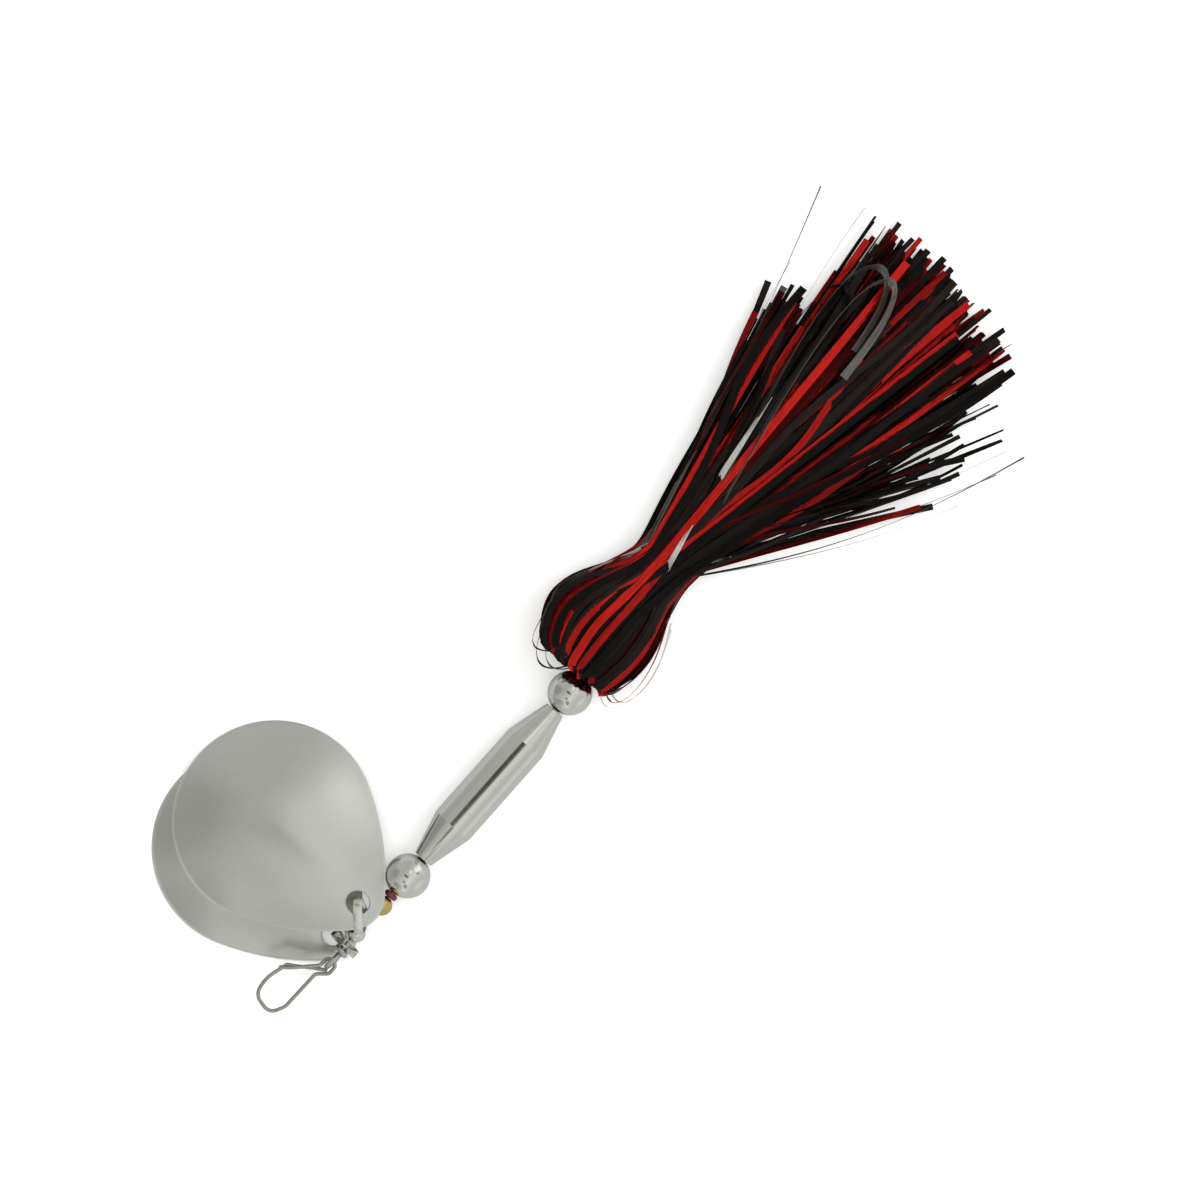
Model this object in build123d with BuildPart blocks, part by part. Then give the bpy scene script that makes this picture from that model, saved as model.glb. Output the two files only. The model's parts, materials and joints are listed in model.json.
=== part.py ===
"""Double-bladed inline spinner with a flash skirt, lying on a flat surface.

Millimetres. The shaft's axis is X, pointing to the skirt; +Y is the side that the blades lie on;
+Z is up. The origin is the centre of the shaft's front eye.
"""
from build123d import *
from math import cos, hypot, radians, sin, sqrt
import os

# ---- driving dimensions -------------------------------------------------------------------------
floor_z = -5.0              # the surface under the two ball beads

wire_r = 0.6                # shaft wire
running_gap = 0.05          # radial play of everything that turns on the shaft
stack_gap = 0.06            # end play between neighbours on the shaft
eye_r = 1.7                 # front eye, to the middle of its wire
wrap_r = 0.55               # the wire tail wound behind each eye
wrap_pitch = 1.0
wraps = 2
rear_eye_r = 2.3

snap_wire_r = 0.45

bead_r = 1.95               # nickel spacer bead between the two clevises
bead_x = 8.15
brass_r = 2.3
brass_x = 16.6
red_r = 1.6
red_length = 1.3
ball_r = 5.0
front_ball_x = 25.3
ball_spacing = 54.3
body_length = 44.2
body_end_r = 2.3
body_r = 4.9
nose_length = 10.0          # conical ends of the body
tail_cone_length = 9.8

blade_length = 54.4         # Colorado blade
blade_round_r = 22.6        # its round end, and so half its width
blade_tip_r = 7.6
blade_side_r = 59.4
blade_depth = 7.5
blade_sheet = 0.8
blade_hole_r = 2.4
blade_hole_from_tip = 5.25

strap_width = 2.2           # folded clevis straps
strap_sheet = 0.4

tube_r = 2.0                # sleeve that the skirt is tied on
tube_x = 85.0
tube_length = 32.0
front_tie_x = 86.4
front_tie_length = 4.6
waist_x = 114.0
waist_tie_length = 3.0
tie_thread = 0.5            # depth of the thread winding

rear_ball_x = front_ball_x + ball_spacing
bore_r = wire_r + running_gap


# ---- helpers ------------------------------------------------------------------------------------
def across(x):
    """A plane square to the shaft, at the distance x behind the front eye."""
    return Plane(origin=(x, 0, 0), x_dir=(0, 1, 0), z_dir=(1, 0, 0))


def finish(piece, name):
    """Label a finished piece and write its file."""
    piece.label = name
    export_step(piece, f"parts/{name}.step")
    box = piece.bounding_box()
    print(f"{name:26s} {piece.volume:10.2f} mm3  x {box.min.X:7.2f}..{box.max.X:7.2f}"
          f"  y {box.min.Y:7.2f}..{box.max.Y:7.2f}  z {box.min.Z:7.2f}..{box.max.Z:7.2f}")


os.makedirs("parts", exist_ok=True)

# ---- shaft: one wire with an eye at each end, and each eye's tail wound round it ------------------
front_wraps = [eye_r + wrap_r + 0.35 + wrap_pitch * turn for turn in range(wraps)]
rear_wraps = [tube_x + tube_length + wrap_r + 0.3 + wrap_pitch * turn for turn in range(wraps)]
rear_eye_x = rear_wraps[-1] + wrap_r + 0.3 + rear_eye_r

with BuildPart() as shaft_wire:
    with BuildSketch(across(eye_r)):
        Circle(wire_r)
    extrude(amount=rear_eye_x - rear_eye_r - eye_r)
    for eye_x, ring_r in ((0, eye_r), (rear_eye_x, rear_eye_r)):
        with BuildSketch(Plane.XY):
            with Locations((eye_x + ring_r, 0)):
                Circle(wire_r)
        revolve(axis=Axis((eye_x, 0, 0), (0, 1, 0)))
    for wrap_x in front_wraps + rear_wraps:
        with BuildSketch(Plane.XY):
            with Locations((wrap_x, wire_r + wrap_r - 0.05)):
                Circle(wrap_r)
        revolve(axis=Axis.X)
finish(shaft_wire.part, "shaft_wire")

# ---- snap: one spring wire, its end loop threaded through the front eye ----------------------------
latch_drop = 1.0            # the latch arm passes under the standing wire, the keeper over the loop
snap_route = [
    (-2.6, -0.2, -latch_drop), (-4.1, 2.3, -latch_drop), (-6.2, 5.3, -0.5), (-7.2, 7.1, 0),
    (-12.6, 8.6, 0), (-16.9, 7.9, 0), (-18.0, 2.9, 0), (-14.6, 1.2, 0), (-4.6, 0.95, 0),
    (-2.6, -1.3, 0), (0.1, -1.3, 0), (0.1, 1.3, 0), (-2.6, 1.5, 0.2), (-7.2, 6.1, latch_drop),
    (-8.5, 7.8, 0.85),
]
snap_bends = [3.0, 2.0, 0.8, 4.0, 2.8, 2.4, 3.0, 1.4, 1.0, 1.2, 1.2, 1.4, 3.0]
with BuildPart() as snap_wire:
    with BuildLine() as snap_line:
        FilletPolyline(*snap_route, radius=snap_bends)
    with BuildSketch(Plane(origin=snap_line.line @ 0, z_dir=snap_line.line % 0)):
        Circle(snap_wire_r)
    sweep()
finish(snap_wire.part, "snap_wire")


# ---- beads, balls and body that turn on the shaft --------------------------------------------------
def bored_ball(radius, x):
    """A ball bead with a bore along the shaft."""
    with BuildPart() as ball:
        with BuildSketch(Plane.XY):
            with BuildLine():
                reach = sqrt(radius**2 - bore_r**2)
                ThreePointArc((x - reach, bore_r), (x, radius), (x + reach, bore_r))
                Line((x + reach, bore_r), (x - reach, bore_r))
            make_face()
        revolve(axis=Axis.X)
    return ball.part


finish(bored_ball(bead_r, bead_x), "spacer_bead")
finish(bored_ball(brass_r, brass_x), "brass_bead")
finish(bored_ball(ball_r, front_ball_x), "front_ball")
finish(bored_ball(ball_r, rear_ball_x), "rear_ball")

red_start = brass_x + brass_r + stack_gap
with BuildPart() as red_bead:
    with BuildSketch(across(red_start)):
        Circle(red_r)
        Circle(bore_r, mode=Mode.SUBTRACT)
    extrude(amount=red_length)
    fillet(red_bead.edges().filter_by(GeomType.CIRCLE).group_by(SortBy.RADIUS)[-1], 0.45)
finish(red_bead.part, "red_bead")

body_x = (front_ball_x + rear_ball_x - body_length) / 2
body_profile = [
    (body_x, body_end_r), (body_x + nose_length, body_r),
    (body_x + body_length - tail_cone_length, body_r), (body_x + body_length, body_end_r),
]
with BuildPart() as body_weight:
    with BuildSketch(Plane.XY):
        with BuildLine():
            Polyline((body_x, bore_r), *body_profile, (body_x + body_length, bore_r), close=True)
        make_face()
    revolve(axis=Axis.X)
    fillet(body_weight.edges().filter_by(GeomType.CIRCLE).group_by(SortBy.RADIUS)[-1], 1.5)
finish(body_weight.part, "body_weight")

# ---- Colorado blades -------------------------------------------------------------------------------
# The outline is four tangent arcs about the middle of the round end: round end, two sides and tip.
tip_middle = -(blade_length - blade_round_r - blade_tip_r)
side_to_round = blade_side_r - blade_round_r
side_to_tip = blade_side_r - blade_tip_r
side_x = tip_middle + (side_to_tip**2 - side_to_round**2 + tip_middle**2) / (2 * -tip_middle)
side_y = sqrt(side_to_round**2 - side_x**2)


def side_point(angle_x, angle_y):
    """The point of the upper side arc in the given direction from that arc's centre."""
    reach = blade_side_r / hypot(angle_x, angle_y)
    return Vector(side_x + angle_x * reach, -side_y + angle_y * reach)


round_joint = side_point(-side_x, side_y)
tip_joint = side_point(tip_middle - side_x, side_y)
side_middle = side_point(tip_middle / 2 - side_x, side_y)
blade_tip_x = tip_middle - blade_tip_r


def mirrored(point):
    return Vector(point.X, -point.Y)


def blade_arcs(scale):
    """The four arcs of the blade's outline, scaled about the middle of its round end."""
    corners = [round_joint, mirrored(round_joint), mirrored(tip_joint), tip_joint, round_joint]
    bulges = [Vector(blade_round_r, 0), mirrored(side_middle), Vector(blade_tip_x, 0), side_middle]
    return [
        (start * scale, bulge * scale, end * scale)
        for start, bulge, end in zip(corners, bulges, corners[1:])
    ]


def dome(seat, depth, reach, first):
    """A closed dome over the plane seat: each level's outline shrinks as the dome rises."""
    levels = [first, 0.9, 0.78, 0.62, 0.44, 0.26, 0.1]
    with BuildPart() as shell:
        for level in levels:
            with BuildSketch(seat.offset(depth * (1 - level**2))):
                with BuildLine():
                    for arc in blade_arcs(level * reach):
                        ThreePointArc(*arc)
                make_face()
        loft()
    return shell.part


def blade_seat(middle, heading, slope_x, slope_y):
    """The plane of a blade's rim, from the middle of its round end, heading and two slopes."""
    along_x = cos(radians(heading))
    along_y = sin(radians(heading))
    rise = -(slope_x * along_x + slope_y * along_y)
    return Plane(origin=middle, x_dir=(along_x, along_y, rise), z_dir=(slope_x, slope_y, 1))


def blade(seat):
    """A cupped sheet blade, convex upward, with the clevis hole near its tip."""
    inner_reach = 1 - blade_sheet * 0.9 / blade_round_r
    outer = dome(seat, blade_depth + blade_sheet, 1, 1)
    inner = dome(seat, blade_depth, inner_reach, 1.04)
    with BuildPart() as sheet:
        add(outer)
        add(inner, mode=Mode.SUBTRACT)
        with BuildSketch(seat):
            with Locations((blade_tip_x + blade_hole_from_tip, 0)):
                Circle(blade_hole_r)
        extrude(amount=blade_depth, mode=Mode.SUBTRACT)
    return sheet.part


front_blade_seat = blade_seat((6.7, 30.16, -4.64), 85.0, 0, 0.016)
rear_blade_seat = blade_seat((14.57, 30.77, -0.95), 88.2, 0.1102, 0.1282)
finish(blade(front_blade_seat), "front_blade")
finish(blade(rear_blade_seat), "rear_blade")


# ---- folded clevises -------------------------------------------------------------------------------
def clevis(route, ears):
    """A bent strap through the stations of route, each a point and the strap's width direction."""
    points = [Vector(*point) for point, width in route]
    with BuildPart() as strap:
        for index, (point, width) in enumerate(route):
            before = points[max(index - 1, 0)]
            after = points[min(index + 1, len(points) - 1)]
            travel = (after - before).normalized()
            side = Vector(*width) - travel * Vector(*width).dot(travel)
            with BuildSketch(Plane(origin=point, x_dir=side, z_dir=travel)):
                Rectangle(strap_width, strap_sheet)
        loft(ruled=True)
        for ear_x in ears:
            with BuildSketch(across(ear_x - 1)):
                Circle(bore_r)
            extrude(amount=2, mode=Mode.SUBTRACT)
    return strap.part


rear_ears = (10.4, 12.7)
over_bridge = (-0.66, 0.75, 0)
rear_clevis_route = [
    ((rear_ears[0], 0.2, -1.5), (0, 1, 0)), ((rear_ears[0], 0.1, 1.2), (0, 1, 0)),
    ((10.1, 0.0, 2.3), (-0.2, 1, 0)), ((9.4, -0.2, 3.3), (-0.45, 0.9, 0)),
    ((9.1, -0.1, 4.2), over_bridge), ((9.7, 0.55, 4.7), over_bridge),
    ((11.0, 1.8, 5.0), over_bridge), ((12.6, 3.3, 5.4), over_bridge),
    ((13.9, 4.5, 5.4), over_bridge), ((14.5, 5.0, 4.6), over_bridge),
    ((14.4, 4.8, 3.6), over_bridge), ((13.7, 3.5, 2.8), over_bridge),
    ((12.95, 1.7, 2.2), (-0.5, 0.85, 0)), ((rear_ears[1], 0.4, 1.3), (0, 1, 0)),
    ((rear_ears[1], 0, -1.5), (0, 1, 0)),
]
finish(clevis(rear_clevis_route, rear_ears), "rear_clevis")

front_ears = (4.4, 5.9)
under_bridge = (1, 0, 0)
front_clevis_route = [
    ((front_ears[1], -1.5, 0.2), (0, 0, 1)), ((front_ears[1], 1.3, -0.1), (0, 0, 1)),
    ((5.7, 2.6, -0.6), (0.5, 0, 0.8)), ((5.4, 3.6, -1.5), (1, 0, 0.3)),
    ((5.0, 4.1, -2.5), under_bridge), ((4.8, 3.8, -3.4), under_bridge),
    ((4.5, 2.4, -3.9), under_bridge), ((4.3, 0.3, -4.45), under_bridge),
    ((4.2, -1.6, -4.6), under_bridge), ((4.1, -2.6, -4.1), under_bridge),
    ((4.1, -2.9, -3.2), under_bridge), ((4.2, -2.4, -2.3), (0.8, -0.45, 0.35)),
    ((4.35, -1.6, -1.6), (0.35, -0.7, 0.65)), ((front_ears[0], -0.9, -0.9), (0, -0.7, 0.7)),
    ((front_ears[0], 1.1, 1.1), (0, -0.7, 0.7)),
]
finish(clevis(front_clevis_route, front_ears), "front_clevis")


# ---- skirt mount: sleeve and thread windings -------------------------------------------------------
def ring(x, length, outer_r, inner_r):
    """A plain ring round the shaft."""
    with BuildPart() as band:
        with BuildSketch(across(x)):
            Circle(outer_r)
            Circle(inner_r, mode=Mode.SUBTRACT)
        extrude(amount=length)
    return band.part


finish(ring(tube_x, tube_length, tube_r, wire_r), "tie_sleeve")
finish(ring(front_tie_x, front_tie_length, tube_r + tie_thread, tube_r), "front_tie_thread")
finish(ring(waist_x - waist_tie_length / 2, waist_tie_length, tube_r + tie_thread, tube_r),
       "waist_tie_thread")

# ---- skirt: one flattened bundle, parted into six hanks ---------------------------------------------
# Each station: distance along the shaft, middle of the bundle, half its width, its top.
skirt_stations = [
    (85.2, 1.5, 5.5, 3.6), (88.5, 4.3, 11.4, 8.0), (94.0, 4.8, 13.7, 11.0), (101.0, 4.5, 11.6, 10.0),
    (108.0, 3.8, 8.4, 7.2), (waist_x, 3.4, 7.2, 5.6), (124.0, 1.4, 10.1, 5.6), (138.0, -2.2, 16.2, 5.8),
    (152.0, -3.6, 20.8, 5.4), (167.0, -5.8, 25.0, 4.6), (181.0, -7.8, 25.8, 3.4),
    (193.0, -5.6, 21.0, 1.8), (206.0, -1.0, 8.5, -1.0),
]
skirt_sag = 1.5             # how far the round sections would reach below the floor
lane_edges = (-1.4, -0.33, 0.33, 1.4)
layer_split = 0.4
high_z = 20.0

with BuildPart() as skirt:
    for x, middle, half_width, top in skirt_stations:
        half_height = (top - floor_z + skirt_sag) / 2
        with BuildSketch(across(x)):
            with Locations((middle, top - half_height)):
                Ellipse(half_width, half_height)
    loft()
    with BuildSketch(across(0)):
        Circle(tube_r + tie_thread)
    extrude(amount=rear_eye_x, mode=Mode.SUBTRACT)
    with BuildSketch(Plane.XZ.offset(-rear_eye_r)):
        with Locations((rear_eye_x, 0)):
            Circle(rear_eye_r + 2 * wire_r)
    extrude(amount=2 * rear_eye_r, mode=Mode.SUBTRACT)


def lane(low, high, bottom, top):
    """The space between two lines that follow the bundle's width, from bottom to top."""
    with BuildPart() as space:
        with BuildSketch(Plane.XY.offset(bottom)):
            with BuildLine():
                left = [(x, middle + high * half) for x, middle, half, _ in skirt_stations]
                right = [(x, middle + low * half) for x, middle, half, _ in skirt_stations]
                Polyline(*left, *reversed(right), close=True)
            make_face()
        extrude(amount=top - bottom)
    return space.part


hank_colours = ("black", "red")
lane_names = ("right", "middle", "left")
layers = (("low", floor_z, layer_split), ("top", layer_split, high_z))
for row, (layer_name, bottom, top) in enumerate(layers):
    for column, lane_name in enumerate(lane_names):
        space = lane(lane_edges[column], lane_edges[column + 1], bottom, top)
        with BuildPart() as hank:
            add(skirt.part)
            add(space, mode=Mode.INTERSECT)
        colour = hank_colours[(row + column) % 2]
        finish(hank.part, f"{colour}_hank_{layer_name}_{lane_name}")
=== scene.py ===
"""Double-bladed inline spinner with a flash skirt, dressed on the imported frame.

Objects are in metres. Routes and sizes in this script are in millimetres, and MM turns them into metres.
"""
import bpy
import json
from math import atan2, cos, hypot, pi, radians, sin, sqrt, tau
from mathutils import Matrix, Vector
from random import Random


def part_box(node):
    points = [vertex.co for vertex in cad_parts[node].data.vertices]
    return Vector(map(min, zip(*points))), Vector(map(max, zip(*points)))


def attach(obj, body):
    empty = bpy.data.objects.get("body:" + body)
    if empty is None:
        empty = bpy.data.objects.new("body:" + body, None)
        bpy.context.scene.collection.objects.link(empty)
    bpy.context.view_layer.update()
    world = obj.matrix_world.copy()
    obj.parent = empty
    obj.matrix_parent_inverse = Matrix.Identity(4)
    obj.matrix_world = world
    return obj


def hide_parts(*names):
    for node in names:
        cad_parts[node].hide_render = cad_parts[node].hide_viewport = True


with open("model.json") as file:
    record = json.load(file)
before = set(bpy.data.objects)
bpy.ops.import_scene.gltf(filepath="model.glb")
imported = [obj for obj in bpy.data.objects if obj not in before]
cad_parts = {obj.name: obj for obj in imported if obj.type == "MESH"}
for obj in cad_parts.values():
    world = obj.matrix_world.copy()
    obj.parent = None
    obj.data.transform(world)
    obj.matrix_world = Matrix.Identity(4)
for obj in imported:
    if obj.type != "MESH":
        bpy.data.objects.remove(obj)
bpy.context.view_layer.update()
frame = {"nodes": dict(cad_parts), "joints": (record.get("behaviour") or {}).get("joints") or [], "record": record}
nodes = frame["nodes"]
joints = {joint["name"]: joint for joint in frame["joints"]}
mounts = {mount["name"]: mount for mount in frame["record"]["mounts"]}
MM = 0.001
UP = Vector((0, 0, 1))
STRAND_STEP = 500.0          # each strand has this many millimetres of the strand map to itself


# ---- camera ----
lens_data = bpy.data.cameras.new("camera")
lens_data.lens = 135
lens_data.sensor_width = 36
lens_data.clip_start = 0.01
camera = bpy.data.objects.new("camera", lens_data)
bpy.context.collection.objects.link(camera)
camera.location = (0.0995, 0.0087, 1.0)
camera.rotation_euler = (0, 0, radians(-48.48))
bpy.context.scene.camera = camera
bpy.context.scene.view_settings.view_transform = "Standard"


# ---- materials ----
def effect_group(name, inputs, outputs):
    """An empty shader node group with number inputs (name, value) and number outputs."""
    group = bpy.data.node_groups.new(name, "ShaderNodeTree")
    for label, value in inputs:
        socket = group.interface.new_socket(label, in_out="INPUT", socket_type="NodeSocketFloat")
        socket.default_value = value
    for label in outputs:
        group.interface.new_socket(label, in_out="OUTPUT", socket_type="NodeSocketFloat")
    return group, group.nodes.new("NodeGroupInput"), group.nodes.new("NodeGroupOutput")


def math_node(tree, operation, first, second=None, third=None):
    """A math node fed by sockets or numbers. Returns its output."""
    node = tree.nodes.new("ShaderNodeMath")
    node.operation = operation
    for slot, value in enumerate((first, second, third)):
        if value is None:
            continue
        if isinstance(value, (int, float)):
            node.inputs[slot].default_value = value
        else:
            tree.links.new(value, node.inputs[slot])
    return node.outputs[0]


def noise_node(tree, vector, scale, detail):
    """A noise texture read at vector, with its scale from a socket. Returns its value."""
    node = tree.nodes.new("ShaderNodeTexNoise")
    node.inputs["Detail"].default_value = detail
    tree.links.new(vector, node.inputs["Vector"])
    tree.links.new(scale, node.inputs["Scale"])
    return node.outputs["Fac"]


def stretched(tree, coordinate, scale, turn=(0, 0, 0)):
    """Texture coordinates ("Object" or "UV") through a mapping with its own scale and turn."""
    source = tree.nodes.new("ShaderNodeTexCoord")
    mapping = tree.nodes.new("ShaderNodeMapping")
    mapping.inputs["Scale"].default_value = scale
    mapping.inputs["Rotation"].default_value = turn
    tree.links.new(source.outputs[coordinate], mapping.inputs["Vector"])
    return mapping.outputs["Vector"]


def plating_clouds():
    """Slow unevenness of a plated or lacquered surface."""
    group, given, result = effect_group("plating_clouds", [("Size", 120.0), ("Fine Size", 900.0)], ["Cloud"])
    place = stretched(group, "Object", (1, 1, 1))
    slow = noise_node(group, place, given.outputs["Size"], 4.0)
    fine = noise_node(group, place, given.outputs["Fine Size"], 2.0)
    mixed = math_node(group, "MULTIPLY_ADD", fine, 0.35, math_node(group, "MULTIPLY", slow, 0.65))
    group.links.new(mixed, result.inputs["Cloud"])
    return group


def fine_scratches():
    """Hairlines from handling: thin stretched noise in three directions, kept only at its peaks."""
    group, given, result = effect_group("fine_scratches", [("Size", 1.0), ("Keep", 0.66)], ["Scratch"])
    total = 0.0
    for turn in (0.4, 1.5, 2.6):
        place = stretched(group, "Object", (260, 9000, 1200), (0.2, 0.1, turn))
        lines = noise_node(group, place, given.outputs["Size"], 1.0)
        peaks = math_node(group, "SUBTRACT", lines, given.outputs["Keep"])
        sharp = math_node(group, "MULTIPLY", math_node(group, "MAXIMUM", peaks, 0.0), 6.0)
        total = math_node(group, "ADD", sharp, total)
    group.links.new(math_node(group, "MINIMUM", total, 1.0), result.inputs["Scratch"])
    return group


def turning_rings():
    """Fine tool rings round the shaft's axis, as a lathe leaves them."""
    group, given, result = effect_group("turning_rings", [("Size", 1.0)], ["Ring"])
    place = stretched(group, "Object", (5200, 60, 60))
    rings = noise_node(group, place, given.outputs["Size"], 2.0)
    group.links.new(rings, result.inputs["Ring"])
    return group


def film_grain():
    """Streaks, small dents and a tone of its own for each flat strand, from its map in millimetres."""
    group, given, result = effect_group("film_grain", [("Streak Size", 1.0), ("Dent Size", 1.0)],
                                        ["Streak", "Dent", "Tone"])
    streaks = noise_node(group, stretched(group, "UV", (6.0, 0.04, 1)), given.outputs["Streak Size"], 2.0)
    dents = noise_node(group, stretched(group, "UV", (0.8, 0.35, 1)), given.outputs["Dent Size"], 3.0)
    split = group.nodes.new("ShaderNodeSeparateXYZ")
    group.links.new(stretched(group, "UV", (1, 1 / STRAND_STEP, 1)), split.inputs["Vector"])
    own = group.nodes.new("ShaderNodeTexWhiteNoise")
    own.noise_dimensions = "1D"
    group.links.new(math_node(group, "FLOOR", split.outputs["Y"]), own.inputs["W"])
    group.links.new(streaks, result.inputs["Streak"])
    group.links.new(dents, result.inputs["Dent"])
    group.links.new(own.outputs["Value"], result.inputs["Tone"])
    return group


clouds_group = plating_clouds()
scratch_group = fine_scratches()
ring_group = turning_rings()
film_group = film_grain()


class Finish:
    """One material under construction: its node tree, shader and the effects placed in it."""

    def __init__(self, name, colour, **constants):
        self.material = bpy.data.materials.new(name)
        self.material.use_nodes = True
        self.tree = self.material.node_tree
        self.shader = self.tree.nodes["Principled BSDF"]
        self.shader.inputs["Base Color"].default_value = (*colour, 1)
        for socket, value in constants.items():
            self.shader.inputs[socket.replace("_", " ")].default_value = value

    def effect(self, group, output, **values):
        """Places an effect group with its own values and returns one of its outputs."""
        node = self.tree.nodes.new("ShaderNodeGroup")
        node.node_tree = group
        for socket, value in values.items():
            node.inputs[socket.replace("_", " ")].default_value = value
        return node.outputs[output]

    def colours(self, factor, low, high, start=0.3, end=0.7):
        """The base colour runs from low to high as factor goes from start to end."""
        ramp = self.tree.nodes.new("ShaderNodeValToRGB")
        ramp.color_ramp.elements[0].position = start
        ramp.color_ramp.elements[1].position = end
        ramp.color_ramp.elements[0].color = (*low, 1)
        ramp.color_ramp.elements[1].color = (*high, 1)
        self.tree.links.new(factor, ramp.inputs["Fac"])
        self.tree.links.new(ramp.outputs["Color"], self.shader.inputs["Base Color"])
        return ramp

    def roughness(self, factor, low, high):
        """The roughness runs from low to high with factor."""
        spread = self.tree.nodes.new("ShaderNodeMapRange")
        spread.inputs["To Min"].default_value = low
        spread.inputs["To Max"].default_value = high
        self.tree.links.new(factor, spread.inputs["Value"])
        self.tree.links.new(spread.outputs["Result"], self.shader.inputs["Roughness"])

    def relief(self, height, strength, distance):
        """Bump from a height."""
        bump = self.tree.nodes.new("ShaderNodeBump")
        bump.inputs["Strength"].default_value = strength
        bump.inputs["Distance"].default_value = distance
        self.tree.links.new(height, bump.inputs["Height"])
        self.tree.links.new(bump.outputs["Normal"], self.shader.inputs["Normal"])


def nickel(name, tone, smooth, worn, rings=0.0, wear=0.12, rim=None):
    """Bright nickel plate: clouded tone, hairlines, tool rings where it was turned, and a smoother rim with a
    painted highlight.
    """
    finish = Finish(name, tone, Metallic=1.0)
    cloud = finish.effect(clouds_group, "Cloud", Size=70.0, Fine_Size=700.0)
    scratch = finish.effect(scratch_group, "Scratch", Size=1.0, Keep=0.62)
    gloss = math_node(finish.tree, "MULTIPLY_ADD", scratch, 0.7, cloud)
    if rim:
        # the rim mask lightens the colour (a painted highlight) and lowers the roughness
        rim_shine = finish.tree.nodes.new("ShaderNodeAttribute")
        rim_shine.attribute_name = rim
        cloud = math_node(finish.tree, "ADD", cloud, rim_shine.outputs["Fac"])
        gloss = math_node(finish.tree, "SUBTRACT", gloss, rim_shine.outputs["Fac"])
    ramp = finish.colours(cloud, [part * 0.93 for part in tone], tone)
    if rim:
        # near-white where the rim mask is full: the colour of the painted highlight
        ramp.color_ramp.elements.new(1.0).color = (0.98, 0.98, 0.95, 1)
    finish.roughness(gloss, smooth, worn)
    if rings:
        finish.relief(finish.effect(ring_group, "Ring", Size=1.0), rings, 0.00002)
    else:
        finish.relief(scratch, wear, -0.00001)
    return finish.material


blade_nickel = nickel("blade_nickel", (0.80, 0.81, 0.775), 0.30, 0.40, wear=0.05, rim="painted_rim_highlight")
bead_nickel = nickel("bead_nickel", (0.86, 0.86, 0.835), 0.04, 0.12)
body_nickel = nickel("body_nickel", (0.84, 0.84, 0.81), 0.06, 0.15, rings=0.25)
clevis_nickel = nickel("clevis_nickel", (0.86, 0.86, 0.83), 0.12, 0.30)


def drawn_wire(name, tone, smooth):
    """Spring wire: satin, with drawing lines and darker spots in the plating."""
    finish = Finish(name, tone, Metallic=1.0)
    cloud = finish.effect(clouds_group, "Cloud", Size=400.0, Fine_Size=2500.0)
    scratch = finish.effect(scratch_group, "Scratch", Size=1.6, Keep=0.58)
    finish.colours(cloud, [part * 0.72 for part in tone], tone, 0.35, 0.6)
    finish.roughness(math_node(finish.tree, "MULTIPLY_ADD", scratch, 0.8, cloud), smooth, smooth + 0.25)
    finish.relief(scratch, 0.3, -0.00002)
    return finish.material


shaft_steel = drawn_wire("shaft_steel", (0.66, 0.65, 0.61), 0.16)
snap_steel = drawn_wire("snap_steel", (0.58, 0.57, 0.52), 0.14)

brass_finish = Finish("brass", (0.86, 0.64, 0.24), Metallic=1.0)
brass_cloud = brass_finish.effect(clouds_group, "Cloud", Size=350.0, Fine_Size=2000.0)
brass_finish.colours(brass_cloud, (0.62, 0.44, 0.15), (0.90, 0.70, 0.28))
brass_finish.roughness(brass_cloud, 0.12, 0.38)
brass_finish.relief(brass_finish.effect(scratch_group, "Scratch", Size=1.4, Keep=0.6), 0.2, -0.00001)

red_lacquer = Finish("red_lacquer", (0.16, 0.012, 0.02), Coat_Weight=1.0, Coat_Roughness=0.05)
lacquer_cloud = red_lacquer.effect(clouds_group, "Cloud", Size=500.0, Fine_Size=2600.0)
red_lacquer.colours(lacquer_cloud, (0.10, 0.008, 0.014), (0.22, 0.015, 0.025))
red_lacquer.roughness(lacquer_cloud, 0.25, 0.5)

sleeve_rubber = Finish("sleeve_rubber", (0.02, 0.02, 0.02))
sleeve_cloud = sleeve_rubber.effect(clouds_group, "Cloud", Size=600.0, Fine_Size=4000.0)
sleeve_rubber.colours(sleeve_cloud, (0.012, 0.012, 0.012), (0.035, 0.034, 0.032))
sleeve_rubber.roughness(sleeve_cloud, 0.5, 0.8)
sleeve_rubber.relief(sleeve_cloud, 0.4, 0.00003)

tying_thread = Finish("tying_thread", (0.015, 0.013, 0.013), Coat_Weight=0.6, Coat_Roughness=0.2)
thread_cloud = tying_thread.effect(clouds_group, "Cloud", Size=1500.0, Fine_Size=9000.0)
tying_thread.colours(thread_cloud, (0.008, 0.007, 0.007), (0.04, 0.035, 0.034))
tying_thread.roughness(thread_cloud, 0.45, 0.75)
tying_thread.relief(thread_cloud, 0.6, 0.00004)


def film(name, deep, bright, metallic, smooth, worn, coat):
    """Flat film strand: lengthwise streaks, soft dents, and a clear outer layer."""
    finish = Finish(name, bright, Metallic=metallic, Coat_Weight=coat, Coat_Roughness=0.12,
                    Specular_IOR_Level=0.14)
    streak = finish.effect(film_group, "Streak", Streak_Size=1.0)
    dent = finish.effect(film_group, "Dent", Dent_Size=1.0)
    tone = finish.effect(film_group, "Tone")
    shade = math_node(finish.tree, "MULTIPLY_ADD", tone, 0.6, math_node(finish.tree, "MULTIPLY", streak, 0.5))
    finish.colours(shade, deep, bright, 0.34, 0.90)
    finish.roughness(streak, smooth, worn)
    finish.relief(dent, 0.8, 0.0006)
    return finish.material


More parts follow.
